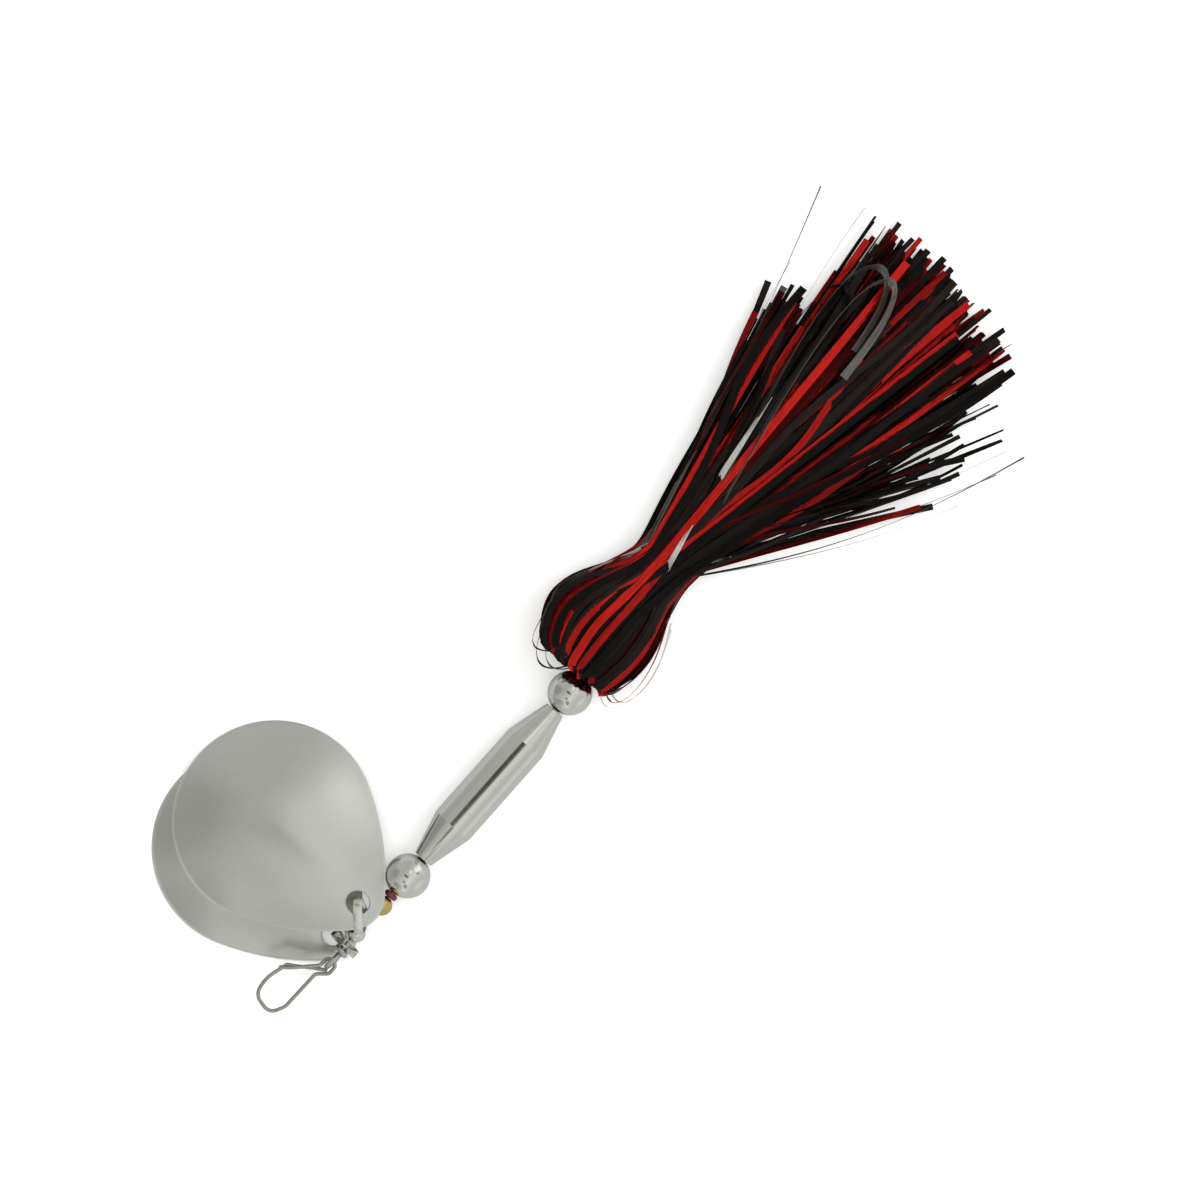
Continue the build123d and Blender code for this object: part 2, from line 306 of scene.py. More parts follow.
black_film = film("black_film", (0.0018, 0.0009, 0.0007), (0.016, 0.0100, 0.0088), 0.10, 0.16, 0.42, 0.03)
red_film = film("red_film", (0.045, 0.0012, 0.0014), (0.80, 0.024, 0.018), 0.92, 0.20, 0.40, 0.10)
smoke_film = film("smoke_film", (0.04, 0.037, 0.034), (0.17, 0.16, 0.145), 0.55, 0.18, 0.36, 0.2)
# clear film, made near-white so that the arched strands also serve as painted glints
clear_glint_film = film("clear_glint_film", (0.62, 0.62, 0.59), (0.92, 0.92, 0.88), 0.35, 0.14, 0.30, 0.3)


# ---- modelling helpers ----
def clear_selection():
    """Nothing selected, in object mode."""
    if bpy.context.object and bpy.context.object.mode != "OBJECT":
        bpy.ops.object.mode_set(mode="OBJECT")
    bpy.ops.object.select_all(action="DESELECT")


def closed_and_outward(smooth_angle=35):
    """Merges the active mesh's seams, turns its faces outwards and smooths it."""
    bpy.ops.object.mode_set(mode="EDIT")
    bpy.ops.mesh.select_all(action="SELECT")
    bpy.ops.mesh.remove_doubles(threshold=1e-6)
    bpy.ops.mesh.normals_make_consistent(inside=False)
    bpy.ops.object.mode_set(mode="OBJECT")
    bpy.ops.object.shade_smooth_by_angle(angle=radians(smooth_angle))


def lattice(name, around, along, place, smooth_angle=35):
    """A grid primitive wrapped on the closed surface place(i, j), i to around and j to along."""
    clear_selection()
    bpy.ops.mesh.primitive_grid_add(x_subdivisions=around, y_subdivisions=along, size=1)
    piece = bpy.context.object
    piece.name = name
    for vertex in piece.data.vertices:
        column = round((vertex.co.x + 0.5) * around)
        row = round((vertex.co.y + 0.5) * along)
        vertex.co = place(column % around, row)
    closed_and_outward(smooth_angle)
    return piece


def turned(name, profile, steps, smooth_angle=35):
    """A piece turned about the shaft from a closed outline of (distance, radius) points, in mm."""
    clear_selection()
    bpy.ops.mesh.primitive_circle_add(vertices=len(profile), radius=0.01, fill_type="NOTHING")
    piece = bpy.context.object
    piece.name = name
    for vertex, (x, radius) in zip(piece.data.vertices, profile):
        vertex.co = Vector((x, 0, radius)) * MM
    bpy.ops.object.mode_set(mode="EDIT")
    bpy.ops.mesh.select_all(action="SELECT")
    bpy.ops.mesh.spin(steps=steps, angle=tau, center=(0, 0, 0), axis=(1, 0, 0))
    bpy.ops.object.mode_set(mode="OBJECT")
    closed_and_outward(smooth_angle)
    return piece


def curve_through(points, steps=8):
    """Points on a smooth curve through all the given points."""
    points = [Vector(point) for point in points]
    ends = [points[0] * 2 - points[1], *points, points[-1] * 2 - points[-2]]
    found = []
    for a, b, c, d in zip(ends, ends[1:], ends[2:], ends[3:]):
        for step in range(steps):
            t = step / steps
            found.append(
                0.5 * (2 * b + (c - a) * t + (2 * a - 5 * b + 4 * c - d) * t**2
                       + (3 * b - a - 3 * c + d) * t**3)
            )
    return found + [points[-1]]


def bent(points, bends, steps=7):
    """Points on straight runs joined by tangent arcs, with one radius for each corner."""
    points = [Vector(point) for point in points]
    path = [points[0]]
    for before, corner, after, radius in zip(points, points[1:], points[2:], bends):
        back = (before - corner).normalized()
        ahead = (after - corner).normalized()
        half = back.angle(ahead) / 2
        middle = corner + (back + ahead).normalized() * radius / sin(half)
        start = corner + back * radius * cos(half) / sin(half) - middle
        axis = ahead.cross(back)
        for step in range(steps + 1):
            path.append(middle + Matrix.Rotation((pi - 2 * half) * step / steps, 3, axis) @ start)
    return path + [points[-1]]


def carried_frames(path):
    """Travel, side and rise at each point of a path, carried along with the least twist."""
    frames = []
    side = None
    for index, point in enumerate(path):
        travel = (path[min(index + 1, len(path) - 1)] - path[max(index - 1, 0)]).normalized()
        if side is None:
            side = travel.orthogonal()
        side = (side - travel * side.dot(travel)).normalized()
        frames.append((travel, side, travel.cross(side)))
    return frames


def wire(name, path, radius, around=16):
    """A round wire along path, in mm, with domed ends."""
    dome = [(-radius * cos(step * pi / 8), radius * sin(step * pi / 8)) for step in range(4)]
    frames = carried_frames(path)
    stations = [(path[0] + frames[0][0] * back, frames[0], size) for back, size in dome]
    stations += [(point, axes, radius) for point, axes in zip(path, frames)]
    stations += [(path[-1] - frames[-1][0] * back, frames[-1], size) for back, size in reversed(dome)]

    def place(column, row):
        point, (travel, side, rise), size = stations[row]
        angle = column * tau / around
        return (point + (side * cos(angle) + rise * sin(angle)) * size) * MM

    return lattice(name, around, len(stations) - 1, place, smooth_angle=60)


def claim(piece, body, material, slot, *stands_for):
    """Gives a finished piece its material and body, and hides the CAD nodes it stands for. The slot is not used.
    """
    piece.data.materials.clear()
    piece.data.materials.append(material)
    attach(piece, body)
    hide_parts(*stands_for)


def middle_x(node):
    """Distance of a CAD node's middle along the shaft, in mm."""
    low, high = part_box(node)
    return (low[0] + high[0]) / 2 / MM


# ---- shaft wire ----
wire_r = 0.6
bore_r = 0.65


def eye_wire(centre_x, ring_r, inward, turns=1.35, pitch=1.23):
    """Half of the shaft wire, from the wound tail's end, round the eye, to the shaft's middle."""
    coil_r = 2 * wire_r
    start = ring_r + 0.38 + wire_r + turns * pitch - 0.25
    path = []
    for step in range(int(turns * 12) + 1):
        angle = -pi / 2 - turns * tau + step * tau / 12
        along = start - step / 12 * pitch
        path.append((along, coil_r * cos(angle), coil_r * sin(angle)))
    path += [(ring_r * cos(angle), 0.25 * sin(angle * 1.2), ring_r * sin(angle))
             for angle in (radians(turn) for turn in range(-48, -320, -20))]
    path += [(ring_r + 0.75, 0, 0.28), (ring_r + 1.6, 0, 0.0), (ring_r + 3.0, 0, 0)]
    return [Vector((centre_x + inward * x, y, z)) for x, y, z in path]


front_eye_x = mounts["front_eye"]["pos_m"][0] / MM
hook_eye_x = mounts["hook_eye"]["pos_m"][0] / MM
front_half = curve_through(eye_wire(front_eye_x, 1.7, 1))
rear_half = curve_through(eye_wire(hook_eye_x, 2.3, -1))
straight = [Vector((x, 0, 0)) for x in range(8, int(hook_eye_x) - 8, 6)]
shaft_piece = wire("shaft", front_half + straight + rear_half[::-1], wire_r)
claim(shaft_piece, "shaft", shaft_steel, "wire", "shaft_wire")

# ---- snap ----
snap_route = [
    (-2.6, -0.2, -1.0), (-4.1, 2.3, -1.0), (-6.2, 5.3, -0.5), (-7.2, 7.1, 0), (-12.6, 8.6, 0),
    (-16.9, 7.9, 0), (-18.0, 2.9, 0), (-14.6, 1.2, 0), (-4.6, 0.95, 0), (-2.6, -1.3, 0),
    (0.1, -1.3, 0), (0.1, 1.3, 0), (-2.6, 1.5, 0.2), (-7.2, 6.1, 1.0), (-8.5, 7.8, 0.85),
]
snap_bends = [3.0, 2.0, 0.8, 8.5, 2.8, 2.4, 3.0, 1.4, 1.0, 1.2, 1.2, 1.4, 3.0]
snap_wire_r = 0.43           # slimmer than the CAD wire, so that the snap swings clear of the eye
snap_piece = wire("snap", bent(snap_route, snap_bends), snap_wire_r)
claim(snap_piece, "snap", snap_steel, "snap_steel", "snap_wire")


# ---- beads, balls and body ----
def bead_profile(x, radius, chamfer, steps=40):
    """Outline of a drilled bead: the round outside, a small lip at each end, and the bore."""
    lip = bore_r + chamfer
    start = atan2(lip, -sqrt(radius**2 - lip**2))
    end = pi - start
    arc = [start + (end - start) * step / steps for step in range(steps + 1)]
    outside = [(x + radius * cos(angle), radius * sin(angle)) for angle in arc]
    reach = sqrt(radius**2 - lip**2) - chamfer * 0.8
    return [*outside, (x + reach, bore_r), (x - reach, bore_r)]


for node, radius, chamfer, material, slot in (
    ("spacer_bead", 1.95, 0.12, bead_nickel, "bead_nickel"),
    ("brass_bead", 2.3, 0.15, brass_finish.material, "brass"),
    ("front_ball", 5.0, 0.25, bead_nickel, "bead_nickel"),
    ("rear_ball", 5.0, 0.25, bead_nickel, "bead_nickel"),
):
    bead = turned(f"{node}_turned", bead_profile(middle_x(node), radius, chamfer), 96)
    claim(bead, node, material, slot, node)

red_x = middle_x("red_bead")
red_outline = [
    (red_x - 0.65, bore_r), (red_x - 0.65, 1.1), (red_x - 0.6, 1.32), (red_x - 0.45, 1.5), (red_x - 0.2, 1.6),
    (red_x + 0.2, 1.6), (red_x + 0.45, 1.5), (red_x + 0.6, 1.32), (red_x + 0.65, 1.1), (red_x + 0.65, bore_r),
]
claim(turned("red_bead_turned", red_outline, 64), "red_bead", red_lacquer.material, "red_bead", "red_bead")


def softened(corners, radius, steps=5):
    """An outline whose inner corners are rounded."""
    flat = [Vector((x, y, 0)) for x, y in corners]
    return [(point.x, point.y) for point in bent(flat, [radius] * (len(flat) - 2), steps)]


low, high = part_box("body_weight")
body_start, body_end = low[0] / MM, high[0] / MM
body_outline = softened(
    [(body_start, bore_r), (body_start, 2.3), (body_start + 10.0, 4.9), (body_end - 9.8, 4.9),
     (body_end, 2.3), (body_end, bore_r)], 0.22)
claim(turned("body", body_outline, 128, 20), "body_weight", body_nickel, "body_nickel", "body_weight")

# ---- blades ----
# The outline is four arcs about the middle of the round end; x runs from the tip to the round end.
blade_length = 54.4
round_r = 22.6
tip_r = 7.6
side_r = 59.4
dome_outer = 8.3
dome_inner = 7.5
inner_reach = 0.968
outer_reach = 0.986
rim_roll = ((0.993, 0.19), (0.998, 0.14), (0.999, 0.08), (0.994, 0.04))     # share of reach, height
hole_r = 2.46
hole_inset = 5.25
hole_x = hole_inset - (blade_length - round_r)
lip_width = 0.26
lip_roll = ((0.18, 0.75), (0.5, 1.0), (0.82, 0.75), (1.0, 0.0))             # share of sheet, inset
tip_middle = -(blade_length - round_r - tip_r)
side_x = tip_middle + ((side_r - tip_r)**2 - (side_r - round_r)**2 + tip_middle**2) / (2 * -tip_middle)
side_y = -sqrt((side_r - round_r)**2 - side_x**2)
round_limit = atan2(-side_y, -side_x)
tip_joint_x = side_x + (tip_middle - side_x) * side_r / (side_r - tip_r)
tip_joint_y = side_y - side_y * side_r / (side_r - tip_r)
tip_limit = atan2(tip_joint_y, tip_joint_x)
# the side of the rim where the painted highlight is strongest
lit_rim_side = Vector((-0.75, 0.66, 0))


def rim_reach(angle):
    """Distance from the middle of the round end to the blade's rim, at an angle up to pi."""
    angle = abs(angle)
    if angle < round_limit:
        return round_r
    x, y, radius = (side_x, side_y, side_r) if angle < tip_limit else (tip_middle, 0, tip_r)
    ahead = x * cos(angle) + y * sin(angle)
    return ahead + sqrt(ahead**2 - x**2 - y**2 + radius**2)


def rim_points(count):
    """Evenly spaced points of the rim, from the tip."""
    angles = [pi - step * tau / 1440 for step in range(1441)]
    dense = [Vector((rim_reach(angle) * cos(angle), rim_reach(angle) * sin(angle))) for angle in angles]
    lengths = [0.0]
    for before, after in zip(dense, dense[1:]):
        lengths.append(lengths[-1] + (after - before).length)
    found = []
    at = 0
    for index in range(count):
        wanted = lengths[-1] * index / count
        while lengths[at + 1] < wanted:
            at += 1
        part = (wanted - lengths[at]) / (lengths[at + 1] - lengths[at])
        found.append(dense[at].lerp(dense[at + 1], part))
    return found


def dome_height(point, depth, reach):
    """Height of a domed surface over the rim's plane."""
    share = point.length / rim_reach(atan2(point.y, point.x)) / reach
    return depth * (1 - share**2)


def blade(name, node, joint, around=180, rings=46):
    """A cupped blade with a rolled rim and a rounded hole, on the seat that its CAD node has."""
    mesh = nodes[node].data
    normal = Vector(joint["axis"]).normalized()
    hole = Vector(joint["pos_m"]) / MM
    area = sum(face.area for face in mesh.polygons)
    middle = sum((face.center * face.area for face in mesh.polygons), Vector()) / area / MM
    ahead = middle - hole
    ahead = (ahead - normal * ahead.dot(normal)).normalized()
    rim_level = min(vertex.co.dot(normal) for vertex in mesh.vertices) / MM
    seat = hole - ahead * hole_x
    seat += normal * (rim_level - seat.dot(normal))
    side = normal.cross(ahead)

    rim = rim_points(around)
    bearings = [pi - index * tau / around for index in range(around)]
    ring = [Vector((cos(bearing), sin(bearing))) for bearing in bearings]
    centre = Vector((hole_x, 0))
    lip = hole_r + lip_width

    def station(column, row):
        """Flat place and height of one lattice point, from the hole over the top and back below."""
        edge, spoke = rim[column], ring[column]
        if row <= rings:
            share = (row / rings)**1.2
            point = (centre + spoke * lip).lerp(edge * outer_reach, share)
            return point, dome_height(point, dome_outer, 1)
        row -= rings
        if row <= len(rim_roll):
            scale, height = rim_roll[row - 1]
            return edge * scale, height
        row -= len(rim_roll) + 1
        if row <= rings:
            share = (1 - row / rings)**1.2
            point = (centre + spoke * lip).lerp(edge * inner_reach, share)
            return point, dome_height(point, dome_inner, inner_reach)
        row -= rings
        point = centre + spoke * lip
        top = dome_height(point, dome_outer, 1)
        under = dome_height(point, dome_inner, inner_reach)
        share, inset = lip_roll[row - 1]
        return centre + spoke * (lip - 0.2 * inset), under + (top - under) * share

    def place(column, row):
        point, height = station(column, row)
        return (seat + ahead * point.x + side * point.y + normal * height) * MM

    rows = 2 * rings + len(rim_roll) + 1 + len(lip_roll)
    piece = lattice(name, around, rows, place, smooth_angle=50)
    # rim mask: full near the rim and strongest towards lit_rim_side, a painted highlight that the nickel material
    # lightens
    painted_rim_highlight = piece.data.attributes.new("painted_rim_highlight", "FLOAT", "POINT")
    for vertex, worn in zip(piece.data.vertices, painted_rim_highlight.data):
        near_rim = max(1 - (vertex.co.dot(normal) / MM - rim_level) / 0.45, 0.0)
        from_front = (vertex.co / MM - seat).normalized().dot(lit_rim_side)
        worn.value = near_rim * min(max(from_front * 1.6 - 0.4, 0.15), 1.0)
    return piece


claim(blade("front_blade_cupped", "front_blade", joints["front_blade_swing"]),
      "front_blade", blade_nickel, "blade_nickel", "front_blade")
claim(blade("rear_blade_cupped", "rear_blade", joints["rear_blade_swing"]),
      "rear_blade", blade_nickel, "blade_nickel", "rear_blade")

# ---- folded clevises ----
strap_half = 1.02
strap_sheet = 0.36
strap_round = 0.14
strap_outline = []
for corner_x, corner_y, first in ((1, 1, 0), (-1, 1, 1), (-1, -1, 2), (1, -1, 3)):
    for part in range(4):
        turn = (first + part / 3) * pi / 2
        strap_outline.append((corner_x, corner_y, strap_round * cos(turn), strap_round * sin(turn)))


def strap(name, route, ears):
    """A bent strap with rounded ends, along points that each state the strap's width direction."""
    centres = curve_through([point for point, width in route], 6)
    widths = curve_through([width for point, width in route], 6)
    lengths = [0.0]
    for before, after in zip(centres, centres[1:]):
        lengths.append(lengths[-1] + (after - before).length)
    stations = []
    for index, (point, width, length) in enumerate(zip(centres, widths, lengths)):
        travel = (centres[min(index + 1, len(centres) - 1)] - centres[max(index - 1, 0)]).normalized()
        side = (width - travel * width.dot(travel)).normalized()
        from_end = min(length, lengths[-1] - length)
        short = max(1 - from_end / strap_half, 0.0)
        half = strap_half * sqrt(max(1 - short**2, 0.03))
        stations.append((point, side, travel.cross(side), half))
    first, last = stations[0], stations[-1]
    stations = [(*first[:3], 0.0), *stations, (*last[:3], 0.0)]

    def place(column, row):
        point, side, rise, half = stations[row]
        corner_x, corner_y, x, y = strap_outline[column]
        flat = corner_x * max(half - strap_round, 0) + x if half else 0.0
        thick = corner_y * (strap_sheet / 2 - strap_round) + y if half else 0.0
        return (point + side * flat + rise * thick) * MM

    piece = lattice(name, len(strap_outline), len(stations) - 1, place, smooth_angle=45)
    for ear_x in ears:
        clear_selection()
        bpy.ops.mesh.primitive_cylinder_add(vertices=40, radius=bore_r * MM, depth=1.0 * MM,
                                            location=(ear_x * MM, 0, 0), rotation=(0, pi / 2, 0))
        drill = bpy.context.object
        clear_selection()
        bpy.context.view_layer.objects.active = piece
        piece.select_set(True)
        cut = piece.modifiers.new("drill", "BOOLEAN")
        cut.operation = "DIFFERENCE"
        cut.solver = "EXACT"
        cut.object = drill
        bpy.ops.object.modifier_apply(modifier=cut.name)
        bpy.data.objects.remove(drill)
    return piece


over_bridge = (-0.66, 0.75, 0)
rear_route = [
    ((10.4, 0.2, -1.5), (0, 1, 0)), ((10.4, 0.1, 1.2), (0, 1, 0)), ((10.1, 0.0, 2.3), (-0.2, 1, 0)),
    ((9.4, -0.2, 3.3), (-0.45, 0.9, 0)), ((9.1, -0.1, 4.2), over_bridge), ((9.7, 0.55, 4.7), over_bridge),
    ((11.0, 1.8, 5.0), over_bridge), ((12.6, 3.3, 5.4), over_bridge), ((13.9, 4.5, 5.4), over_bridge),
    ((14.5, 5.0, 4.6), over_bridge), ((14.4, 4.8, 3.6), over_bridge), ((13.7, 3.5, 2.8), over_bridge),
    ((12.95, 1.7, 2.2), (-0.5, 0.85, 0)), ((12.7, 0.4, 1.3), (0, 1, 0)), ((12.7, 0, -1.5), (0, 1, 0)),
]
under_bridge = (1, 0, 0)
front_route = [
    ((5.9, -1.5, 0.2), (0, 0, 1)), ((5.9, 1.3, -0.1), (0, 0, 1)), ((5.7, 2.6, -0.6), (0.5, 0, 0.8)),
    ((5.4, 3.6, -1.5), (1, 0, 0.3)), ((5.0, 4.1, -2.5), under_bridge), ((4.8, 3.8, -3.4), under_bridge),
    ((4.5, 2.4, -3.9), under_bridge), ((4.3, 0.3, -4.45), under_bridge), ((4.2, -1.6, -4.6), under_bridge),
    ((4.1, -2.6, -4.1), under_bridge), ((4.1, -2.9, -3.2), under_bridge),
    ((4.2, -2.4, -2.3), (0.8, -0.45, 0.35)), ((4.35, -1.6, -1.6), (0.35, -0.7, 0.65)),
    ((4.4, -0.9, -0.9), (0, -0.7, 0.7)), ((4.4, 1.1, 1.1), (0, -0.7, 0.7)),
]
claim(strap("rear_clevis_strap", rear_route, (10.4, 12.7)),
      "rear_clevis", clevis_nickel, "clevis_nickel", "rear_clevis")
claim(strap("front_clevis_strap", front_route, (4.4, 5.9)),
      "front_clevis", clevis_nickel, "clevis_nickel", "front_clevis")

# ---- skirt mount ----
sleeve_r = 2.0
thread_r = 0.22
winding_r = 2.24
winding_steps = 20           # points in one turn of thread

low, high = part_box("tie_sleeve")
sleeve_start, sleeve_end = low[0] / MM, high[0] / MM
sleeve_outline = softened(
    [(sleeve_start, wire_r), (sleeve_start, sleeve_r), (sleeve_end, sleeve_r), (sleeve_end, wire_r)], 0.3)
claim(turned("sleeve", sleeve_outline, 48), "shaft", sleeve_rubber.material, "sleeve", "tie_sleeve")

for node in ("front_tie_thread", "waist_tie_thread"):
    low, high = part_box(node)
    start, length = low[0] / MM + thread_r, (high[0] - low[0]) / MM - 2 * thread_r
    turns = round(length / (2 * thread_r))
    winding = []
    for step in range(turns * winding_steps + 1):
        x = start + length * step / (turns * winding_steps)
        angle = step * tau / winding_steps
        winding.append(Vector((x, winding_r * cos(angle), winding_r * sin(angle))))
    claim(wire(f"{node}_winding", winding, thread_r, 8), "shaft", tying_thread.material, "thread", node)

# ---- skirt strands ----
hanks = [name for name in nodes if "_hank_" in name]
floor_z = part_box("front_ball")[0][2] / MM


def hank_section(x):
    """Middle, half width, middle height and half height of the hanks at the distance x, in mm."""
    ys, zs = [], []
    for name in hanks:
        mesh = nodes[name].data
        for edge in mesh.edges:
            a, b = (mesh.vertices[index].co for index in edge.vertices)
            if (a.x - x * MM) * (b.x - x * MM) < 0:
                point = a.lerp(b, (x * MM - a.x) / (b.x - a.x)) / MM
                ys.append(point.y)
                zs.append(point.z)
    low_y, high_y, high_z = min(ys), max(ys), max(zs)
    return (low_y + high_y) / 2, (high_y - low_y) / 2, (high_z + floor_z) / 2, (high_z - floor_z) / 2


section_x = [86.0, 88.5, 91.0, 94.0, 98.0, 102.0, 106.0, 110.0, 114.0, 119.0, 126.0, 134.0, 143.0, 153.0,
             163.0, 173.0, 183.0, 193.0, 201.0, 205.5]
section_at = {x: hank_section(x) for x in section_x}


def section(x):
    """The hanks' section at any distance, between the ones measured."""
    x = min(max(x, section_x[0]), section_x[-1])
    after = next(index for index, value in enumerate(section_x) if value >= x)
    before = max(after - 1, 0)
    span = section_x[after] - section_x[before]
    part = (x - section_x[before]) / span if span else 0.0
    return [a + (b - a) * part for a, b in zip(section_at[section_x[before]], section_at[section_x[after]])]


def spline_points(points, steps=4):
    """A smooth curve led by the given points, from the first to the last."""
    led = [points[0]] * 2 + list(points) + [points[-1]] * 2
    found = []
    for a, b, c, d in zip(led, led[1:], led[2:], led[3:]):
        for step in range(steps):
            t = step / steps
            found.append(((1 - t)**3 * a + (3 * t**3 - 6 * t**2 + 4) * b
                          + (-3 * t**3 + 3 * t**2 + 3 * t + 1) * c + t**3 * d) / 6)
    return found + [Vector(points[-1])]


class StrandBundle:
    """Flat strands gathered into one mesh, with a map in millimetres: across and along."""

    def __init__(self):
        self.points, self.faces, self.map = [], [], []
        self.count = 0

    def add(self, path, faces_up, width, sheet=0.09, camber=0.07):
        """One strand along path; faces_up gives the direction its flat side faces at each point."""
        ring = [(-0.5, 0.0), (0.0, camber), (0.5, 0.0), (0.5, -sheet), (0.0, camber - sheet), (-0.5, -sheet)]
        first = len(self.points)
        along = STRAND_STEP * self.count
        self.count += 1
        rows = []
        for index, point in enumerate(path):
            ahead, behind = path[min(index + 1, len(path) - 1)], path[max(index - 1, 0)]
            travel = (ahead - behind).normalized()
            facing = faces_up[index]
            side = travel.cross(facing).normalized()
            rise = side.cross(travel)
            corners = [point + side * (x * width) + rise * y for x, y in ring]
            lift = max(floor_z + 0.05 - min(corner.z for corner in corners), 0)
            self.points += [(corner + UP * lift) * MM for corner in corners]
            along += (point - behind).length
            rows.append(along)
        last = len(path) - 1
        for row in range(last):
            for corner in range(6):
                after = (corner + 1) % 6
                a, b = first + row * 6 + corner, first + row * 6 + after
                self.faces.append((b, a, a + 6, b + 6))
                left, right = ring[corner][0], ring[after][0]
                self.map += [(right * width, rows[row]), (left * width, rows[row]),
                             (left * width, rows[row + 1]), (right * width, rows[row + 1])]
        for row, order in ((0, (0, 1, 2, 3, 4, 5)), (last, (5, 4, 3, 2, 1, 0))):
            self.faces.append(tuple(first + row * 6 + corner for corner in order))
            self.map += [(ring[corner][0] * width, rows[row]) for corner in order]

    def build(self, name):
        """The bundle's finished object."""
        mesh = bpy.data.meshes.new(name)
        mesh.from_pydata(self.points, [], self.faces)
        layer = mesh.uv_layers.new(name="strand_map")
        layer.data.foreach_set("uv", [value for pair in self.map for value in pair])
        piece = bpy.data.objects.new(name, mesh)
        bpy.context.collection.objects.link(piece)
        clear_selection()
        bpy.context.view_layer.objects.active = piece
        piece.select_set(True)
        bpy.ops.object.shade_smooth_by_angle(angle=radians(50))
        return piece


waist_x = (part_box("waist_tie_thread")[0][0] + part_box("waist_tie_thread")[1][0]) / 2 / MM
waist_y = section(waist_x)[0]
chance = Random(41)


def tail_length(bearing):
    """A drawn reach behind the waist for a strand, with limits set by its bearing in degrees."""
    if bearing > 10:
        return chance.uniform(50, 70)
    if bearing > 8:
        return chance.uniform(60, 92)
    if bearing > -20:
        return chance.triangular(58, 94, 90)
    if bearing > -31:
        return chance.uniform(48, 84)
    return chance.uniform(36, 70)


def in_section(x, across, height, margin):
    """A point of the hanks' section at x: across and height run from -1 to 1."""
    middle, half, level, rise = section(x)
    return Vector((x, middle + half * across * margin, max(level + rise * height * margin, floor_z + 0.25)))


def strand(bearing, turn, depth, calm=1.0):
    """Path and facing of one strand, from the front tie through the bulb and waist to its end."""
    across, height = depth * cos(turn), depth * sin(turn)
    loop = 0.35 + 0.65 * depth
    tie = Vector((chance.uniform(87.2, 90.0), 2.35 * cos(turn), 2.35 * sin(turn)))
    middle, half, level, rise = section(91.0)
    front_y, front_z = middle * 0.7 + half * across * 0.74, level * 0.7 + rise * height * 0.74
    front_x = 86.2 + chance.uniform(-0.8, 0.8) - 0.55 * min(hypot(front_y, front_z), 6.5)
    led = [tie, Vector((front_x, front_y, front_z))]
    for x, swell in ((88.3, 1.08), (93.0, 1.0), (98.0, 1.02), (103.0, 1.05)):
        x += chance.uniform(-0.8, 0.8)
        led.append(in_section(x, across * loop**0.3 * swell, height * swell, 1.03))
    slip = chance.gauss(0, 0.22)
    for x, share, margin in ((108.5, 0.5, 1.04), (waist_x, 1.0, 0.86)):
        led.append(in_section(x, max(min(across * (1 - 0.15 * share) + slip * share, 1), -1), height, margin))
    reach = tail_length(bearing)
    direction = Vector((cos(radians(bearing)), sin(radians(bearing))))
    start = led[-1]
    end_y = waist_y + direction.y * reach
    end_x = waist_x + direction.x * reach
    wave = chance.gauss(0, 1.3)
    phase, bends = chance.uniform(0, tau), chance.uniform(3.0, 9.0)
    for share in (0.12, 0.28, 0.46, 0.64, 0.82, 1.0):
        x = start.x + (end_x - start.x) * share
        straight_y = start.y + (end_y - start.y) * share
        sway = wave * sin(phase + share * bends) * min(share * 2, 1)
        level, rise = section(x)[2:]
        settle = height * (1 - 0.25 * share)
        z = max(level + rise * settle * 0.92, floor_z + 0.25)
        led.append(Vector((x, straight_y + sway, z)))
    path = spline_points(led)

    side = 1 if sin(turn) >= 0 else -1
    roll_phase, roll_rate = chance.uniform(0, tau), chance.uniform(0.6, 1.6)
    lean = chance.gauss(0, 0.5)
    facing = []
    for index, point in enumerate(path):
        middle, half, level, rise = section(point.x)
        outward = Vector((0, (point.y - middle) / half**2, (point.z - level) / rise**2))
        outward = outward.normalized() if outward.length > 1e-6 else UP * side
        spread = min(max((point.x - 106) / 14, 0), 1)
        upright = (outward * (1 - spread) + UP * side * spread).normalized()
        sway = sin(roll_phase + index / len(path) * tau * roll_rate)
        roll = calm * (lean * (0.25 + spread) + sway * (0.12 + 0.6 * spread))
        travel = (path[min(index + 1, len(path) - 1)] - path[max(index - 1, 0)]).normalized()
        facing.append(Matrix.Rotation(roll, 3, travel) @ upright)
    return path, facing


bundle_names = ("black_low", "black_top", "red_low", "red_top", "smoke", "clear")
bundles = {name: StrandBundle() for name in bundle_names}
strand_total = 400
outlier_share = 0.10
red_share = 0.36
clump_share = 0.22           # how far the red share rises and falls from clump to clump
smoke_share = 0.05
for number in range(strand_total):
    turn = chance.uniform(0, tau)
    depth = sqrt(chance.uniform(0.08, 1.0))
    spread = 0.62 * cos(turn) * depth + chance.gauss(0, 0.30)
    outlier = chance.random() < outlier_share
    if outlier:
        bearing = chance.triangular(-43, -20, -23)
    else:
        bearing = max(min(-1.0 + 20.5 * spread + chance.gauss(0, 3.0), 20.5), -24)
    path, facing = strand(bearing, turn, depth)
    clump = sin(bearing * 0.55 + 1.2) * 0.5 + sin(turn * 5.0 + 1.9) * 0.5
    red = chance.random() < red_share + clump_share * clump
    layer = "top" if sin(turn) > 0 else "low"
    colour = "red" if red else "black"
    if not red and chance.random() < smoke_share:
        bundles["smoke"].add(path, facing, chance.uniform(1.5, 2.0))
    else:
        width = chance.uniform(0.6, 1.5) if outlier else chance.triangular(0.9, 1.65, 1.6)
        bundles[f"{colour}_{layer}"].add(path, facing, width)

